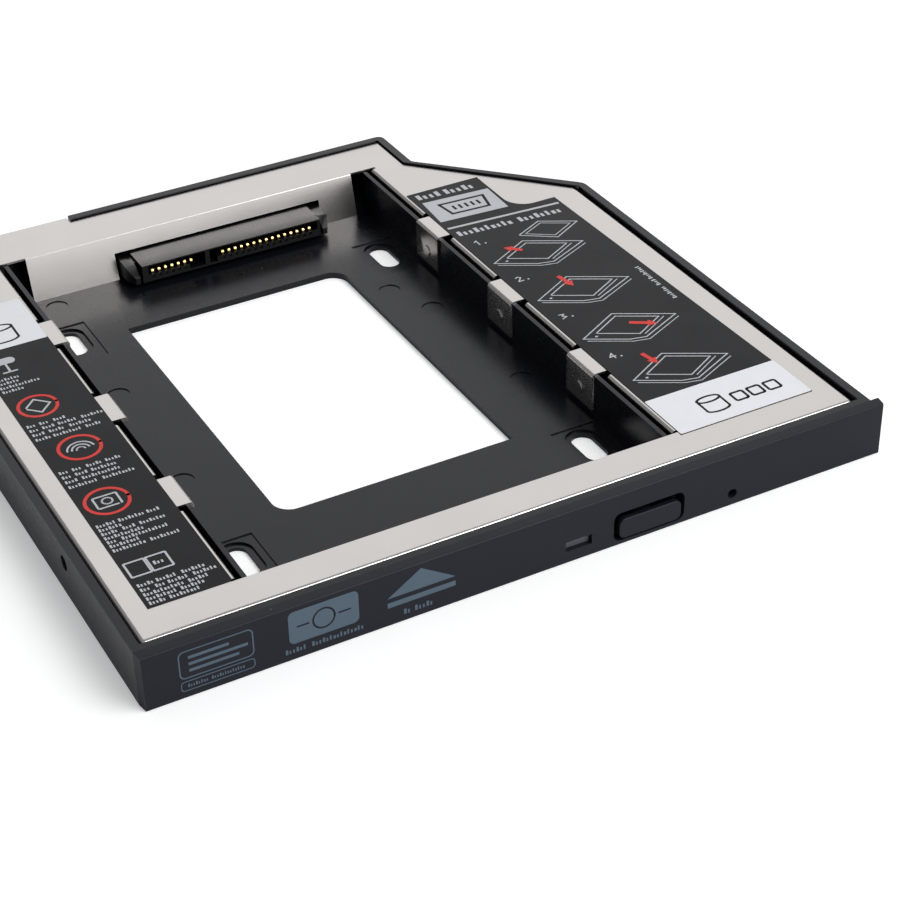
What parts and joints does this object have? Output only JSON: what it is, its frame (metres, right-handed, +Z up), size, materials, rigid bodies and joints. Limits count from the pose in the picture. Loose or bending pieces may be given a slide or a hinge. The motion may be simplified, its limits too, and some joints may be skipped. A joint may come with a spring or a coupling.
{
  "type": "drive bay caddy",
  "caption": "Slim tray with a steel cover that fills a laptop's optical-drive bay and holds a 2.5 inch drive in its open centre, with a front bezel and push button.",
  "frame": {"origin": "centre of the outer box on the surface that the caddy lies on", "axes": "+Z up out of the steel cover, +X to the right seen from the bezel, the bezel faces -Y"},
  "size_m": [0.1276, 0.127, 0.0095],
  "materials": {
    "black_plastic": "fine satin",
    "sheet_steel": "satin sheet",
    "spring_steel": "bright",
    "clear_plastic": "frosted clear",
    "socket_plastic": "semi-gloss",
    "gold_contact": "gold plated",
    "board": "solder mask",
    "screw_steel": "zinc plated",
    "label_film": "semi-gloss printed film"
  },
  "bodies": {
    "housing": {"tray": "black_plastic", "top_cover": "sheet_steel", "bezel": "black_plastic", "button_spring": "spring_steel", "led_lens": "clear_plastic", "drive_socket": "socket_plastic", "signal_contacts": "gold_contact", "power_contacts": "gold_contact", "adapter_board": "board", "board_screws": "screw_steel", "rear_plug": "socket_plastic", "plug_signal_contacts": "gold_contact", "plug_power_contacts": "gold_contact", "label_left": "label_film", "label_right": "label_film"},
    "button": {"eject_button": "black_plastic"}
  },
  "joints": [
    {"name": "button_press", "type": "slide", "parent": "housing", "child": "button", "axis": [0, 1, 0], "range_m": [0, 0.0008], "stiffness_N_per_m": 400, "springref_m": -0.0012, "deforming": ["button_spring"]}
  ]
}
